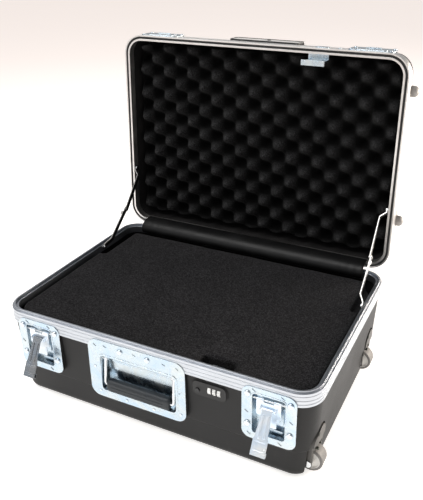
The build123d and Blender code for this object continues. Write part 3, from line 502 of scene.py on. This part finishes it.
def foam_height(x, y):
    """z of the peaked side of the shut lid's foam, with room for the stays and the tang."""
    wave = (np.cos(math.pi * (x - FOAM_PEAK_X) / FOAM_PITCH_X)
            * np.cos(math.pi * (y - FOAM_PEAK_Y) / FOAM_PITCH_Y))
    rise = (0.5 + 0.5 * wave) ** 1.05
    uneven = 0.05 * np.sin(x * 71 + y * 33) + 0.04 * np.sin(x * 29 - y * 67 + 1.0)
    z = FOAM_PEAK_Z + FOAM_DEPTH * (1 - rise) + 0.004 * np.abs(uneven)
    stays = (np.abs(x) > 0.2495) & (y > 0.055)
    tang = (x > 0.089) & (x < 0.146) & (y < -0.157)
    return np.where(stays | tang, np.maximum(z, FOAM_PEAK_Z + FOAM_CLEARANCE), z)


def lid_foam():
    step = 0.0026
    rows = int(round(2 * FOAM_HALF_Y / step))
    columns = int(round(2 * FOAM_HALF_X / step))
    row_y = np.linspace(-FOAM_HALF_Y, FOAM_HALF_Y, rows + 1)
    across = np.linspace(-1, 1, columns + 1)
    # each row is squeezed to the width left between the rounded corners
    into_corner = np.maximum(np.abs(row_y) - (FOAM_HALF_Y - FOAM_CORNER), 0.0)
    corner_x = np.sqrt(np.maximum(0.0, FOAM_CORNER ** 2 - into_corner ** 2))
    half_width = np.where(into_corner > 0, FOAM_HALF_X - FOAM_CORNER + corner_x, FOAM_HALF_X)
    x = half_width[:, None] * across[None, :]
    y = FOAM_CENTRE_Y + np.repeat(row_y[:, None], columns + 1, 1)
    z = foam_height(x, y)
    peak = np.clip((FOAM_PEAK_Z + FOAM_DEPTH - z) / FOAM_DEPTH, 0, 1)

    open_y, open_z = opened(y, z)
    vertices = list(zip(x.ravel(), open_y.ravel(), open_z.ravel()))
    width = columns + 1
    faces = [(i * width + j, (i + 1) * width + j, (i + 1) * width + j + 1, i * width + j + 1)
             for i in range(rows) for j in range(columns)]
    # walls from the outline to the flat back, then the back itself
    outline = (list(range(width))
               + [i * width + columns for i in range(1, rows + 1)]
               + [rows * width + j for j in range(columns - 1, -1, -1)]
               + [i * width for i in range(rows - 1, 0, -1)])
    back = len(vertices)
    count = len(outline)
    shut_y = y.ravel()
    for i in outline:
        vertices.append((vertices[i][0], *opened(shut_y[i], FOAM_BACK_Z)))
    for k in range(count):
        following = (k + 1) % count
        faces.append((outline[k], outline[following], back + following, back + k))
    faces.append(tuple(range(back, back + count)))

    obj = mesh_object("lid_foam_convoluted", vertices, faces, MATERIALS["foam_lid"])
    smooth_shade(obj.data)
    # 1 on the peaks, 0 in the valleys: the material paints shade into the valleys by it
    attribute = obj.data.attributes.new("peak", "FLOAT", "POINT")
    values = np.concatenate([peak.ravel(), np.zeros(count)])
    attribute.data.foreach_set("value", values.astype(np.float32))
    return obj


stand_in(lid_foam(), "lid_foam", "lid")


# ---------------------------------------------------------------------------
# padded vinyl cover over the hinge
# ---------------------------------------------------------------------------
# (y, z) in mm, from the base, round the front of the hinge, to the lid
COVER_PROFILE = [
    (185.6, 152.1), (178.9, 154.9), (174.7, 160.9), (174.5, 167.9),
    (178.3, 174.7), (185.7, 179.5), (196.5, 181.8), (211.1, 181.2),
]
COVER_SPAN_STEPS = 5                    # points per span of the profile
COVER_STATIONS = 161                    # stations along X
COVER_HALF_X = 0.2394
COVER_THICKNESS = 0.0013
COVER_INSET = 0.0004                    # from the profile to the outer skin
COVER_PUCKER = 0.00045
COVER_END_DROP = 0.0022


def smooth_path(points, steps):
    """A Catmull-Rom curve through the points, with so many steps per span."""
    p = np.array(points, float)
    last = len(p) - 1
    path = []
    for i in range(last):
        before, start, end, after = p[max(0, i - 1)], p[i], p[i + 1], p[min(last, i + 2)]
        for t in np.linspace(0, 1, steps, endpoint=False):
            path.append(0.5 * (2 * start + (-before + end) * t
                               + (2 * before - 5 * start + 4 * end - after) * t * t
                               + (-before + 3 * start - 3 * end + after) * t ** 3))
    path.append(p[-1])
    return np.array(path)


def cover_sag(x):
    """How far the middle of the profile sinks at x: puckers, and a drop near the ends."""
    near_end = max(0.0, (abs(x) - 0.17) / 0.07)
    pucker = (0.5 * math.sin(x * 63 + 0.4) + 0.35 * math.sin(x * 151 + 1.1)
              + 0.8 * near_end * math.sin(x * 420))
    return pucker * COVER_PUCKER + 0.6 * COVER_END_DROP * near_end * near_end


def hinge_cover():
    profile = smooth_path(COVER_PROFILE, COVER_SPAN_STEPS) * MM
    count = len(profile)
    slope = np.gradient(profile, axis=0)
    inward = np.stack([slope[:, 1], -slope[:, 0]], 1)      # towards the hinge
    inward /= np.linalg.norm(inward, axis=1)[:, None]
    bulge = np.sin(math.pi * np.linspace(0, 1, count))
    vertices = []
    for depth in (0.0, COVER_THICKNESS):
        for x in np.linspace(-COVER_HALF_X, COVER_HALF_X, COVER_STATIONS):
            offset = depth + COVER_INSET + cover_sag(x) * bulge
            skin = profile + inward * offset[:, None]
            vertices += [(x, y, z) for y, z in skin]

    def at(layer, station, i):
        return (layer * COVER_STATIONS + station) * count + i

    faces = []
    end, rim = COVER_STATIONS - 1, count - 1
    for a in range(end):
        for i in range(rim):
            faces.append((at(0, a, i), at(0, a, i + 1), at(0, a + 1, i + 1), at(0, a + 1, i)))
            faces.append((at(1, a, i), at(1, a + 1, i), at(1, a + 1, i + 1), at(1, a, i + 1)))
    # the long rims, then the two ends
    for a in range(end):
        faces.append((at(0, a, 0), at(0, a + 1, 0), at(1, a + 1, 0), at(1, a, 0)))
        faces.append((at(0, a, rim), at(1, a, rim), at(1, a + 1, rim), at(0, a + 1, rim)))
    for i in range(rim):
        faces.append((at(0, 0, i), at(1, 0, i), at(1, 0, i + 1), at(0, 0, i + 1)))
        faces.append((at(0, end, i), at(0, end, i + 1), at(1, end, i + 1), at(1, end, i)))
    obj = mesh_object("hinge_cover_vinyl", vertices, faces, MATERIALS["vinyl"])
    smooth_shade(obj.data)
    return obj


cover = hinge_cover()
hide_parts("hinge_cover")
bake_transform(cover)


# ---------------------------------------------------------------------------
# stage, light and camera
# ---------------------------------------------------------------------------
def floor_material():
    """Pale floor that glows, a little dimmer and warmer away from the case."""
    material = bpy.data.materials.new("floor_mat")
    material.use_nodes = True
    tree = material.node_tree
    inputs = tree.nodes["Principled BSDF"].inputs
    feed(tree, inputs["Base Color"], (0.90, 0.885, 0.865))
    feed(tree, inputs["Roughness"], 0.9)
    feed(tree, inputs["Specular IOR Level"], 0.1)
    position = add_node(tree, "ShaderNodeTexCoord").outputs["Object"]
    length = add_node(tree, "ShaderNodeVectorMath", {0: position}, operation="LENGTH")
    distance = length.outputs["Value"]
    glow = add_node(tree, "ShaderNodeMapRange",
                    {"From Min": 0.5, "From Max": 3.4, "To Min": 0.66, "To Max": 0.615,
                     "Value": distance}, interpolation_type="SMOOTHSTEP")
    warmth = add_node(tree, "ShaderNodeMapRange",
                      {"From Min": 0.5, "From Max": 3.3, "Value": distance})
    color = add_node(tree, "ShaderNodeMix",
                     {0: warmth.outputs[0], MIX_A: (1.0, 0.985, 0.965),
                      MIX_B: (0.945, 0.815, 0.745)}, data_type="RGBA")
    feed(tree, inputs["Emission Strength"], glow.outputs[0])
    feed(tree, inputs["Emission Color"], color.outputs[MIX_RESULT])
    return material


def build_floor():
    half, z = 9, -0.0002
    corners = [(-half, -half, z), (half, -half, z), (half, half, z), (-half, half, z)]
    mesh_object("studio_floor", corners, [(0, 1, 2, 3)], floor_material())


def build_world():
    """Sky graded by height, from warm white at the horizon to cool grey overhead."""
    world = bpy.data.worlds.new("studio")
    SCENE.world = world
    world.use_nodes = True
    tree = world.node_tree
    tree.nodes.clear()
    output = add_node(tree, "ShaderNodeOutputWorld")
    background = add_node(tree, "ShaderNodeBackground", {"Strength": 0.58})
    direction = add_node(tree, "ShaderNodeTexCoord").outputs["Generated"]
    split = add_node(tree, "ShaderNodeSeparateXYZ", {0: direction})
    ramp = add_node(tree, "ShaderNodeValToRGB", {0: split.outputs["Z"]})
    stops = ramp.color_ramp.elements
    stops[0].position = 0.0
    stops[0].color = (1.0, 0.985, 0.965, 1)
    stops[1].position = 1.0
    stops[1].color = (0.55, 0.56, 0.58, 1)
    stops.new(0.35).color = (0.62, 0.625, 0.64, 1)
    tree.links.new(ramp.outputs[0], background.inputs[0])
    tree.links.new(background.outputs[0], output.inputs[0])


def area_light(name, location, target, size, power, color):
    light = bpy.data.lights.new(name, "AREA")
    light.energy = power
    light.color = color
    light.shape = "RECTANGLE"
    light.size, light.size_y = size
    obj = link_object(name, light)
    obj.location = location
    aim = Vector(target) - Vector(location)
    obj.rotation_euler = aim.to_track_quat("-Z", "Y").to_euler()


def build_camera():
    azimuth, elevation, roll = 0.453065, 0.421804, -0.004565      # radians
    x, y, z = 0.48164, -0.88771, 0.75077
    camera = bpy.data.cameras.new("camera")
    obj = link_object("camera", camera)
    SCENE.camera = obj
    back = Vector((math.sin(azimuth) * math.cos(elevation),
                   -math.cos(azimuth) * math.cos(elevation), math.sin(elevation)))
    level = Vector((math.cos(azimuth), math.sin(azimuth), 0.0))
    upright = back.cross(level)
    right = level * math.cos(roll) + upright * math.sin(roll)
    up = upright * math.cos(roll) - level * math.sin(roll)
    obj.matrix_world = Matrix(((right.x, up.x, back.x, x), (right.y, up.y, back.y, y),
                               (right.z, up.z, back.z, z), (0, 0, 0, 1)))
    camera.sensor_width = 36.0
    camera.lens = 47.100
    camera.shift_x = -0.03178
    camera.shift_y = -0.05647
    camera.clip_start, camera.clip_end = 0.01, 100


build_floor()
build_world()
area_light("key_top", location=(-0.6, -0.5, 2.2), target=(0, 0, 0.1), size=(1.8, 1.8),
           power=40, color=(1.0, 0.99, 0.975))
area_light("fill_front", location=(-1.6, -2.4, 1.2), target=(0, 0, 0.2), size=(1.4, 1.4),
           power=8, color=(0.97, 0.98, 1.0))
area_light("side_right", location=(2.2, 1.9, 0.55), target=(0.3, 0, 0.12), size=(2.0, 1.0),
           power=112, color=(1.0, 0.90, 0.80))
build_camera()

SCENE.view_settings.view_transform = "Standard"
SCENE.view_settings.look = "None"
SCENE.view_settings.exposure = 0.0
SCENE.view_settings.gamma = 1.0
